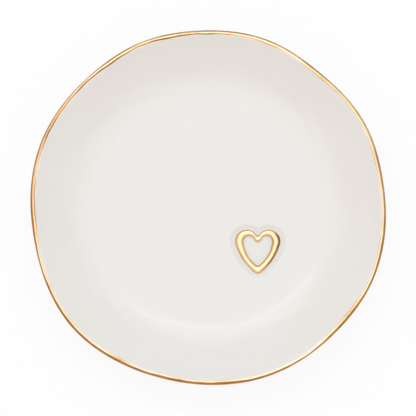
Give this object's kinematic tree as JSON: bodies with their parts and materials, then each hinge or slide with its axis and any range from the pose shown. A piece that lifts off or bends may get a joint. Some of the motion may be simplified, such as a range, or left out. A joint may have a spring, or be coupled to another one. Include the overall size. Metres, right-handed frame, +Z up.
{
  "type": "ring dish",
  "caption": "Shallow round ring dish of white glazed ceramic, with a slightly uneven hand-formed gilded lip, a gilded raised open heart on its floor and a low foot ring.",
  "frame": {"origin": "centre of the dish on the surface that it stands on", "axes": "+Z up out of the bowl; the heart reads upright with +Y as its top and +X to its right"},
  "size_m": [0.1001, 0.1, 0.0177],
  "materials": {
    "glazed_clay": "gloss white glaze",
    "bare_clay": "fine unglazed clay, wiped smooth",
    "gilding": "bright fired gold lustre"
  },
  "bodies": {
    "root": {"dish_body": "glazed_clay", "foot_ring": "bare_clay", "heart_sprig": "glazed_clay", "rim_gilding": "gilding", "heart_gilding": "gilding"}
  },
  "joints": []
}
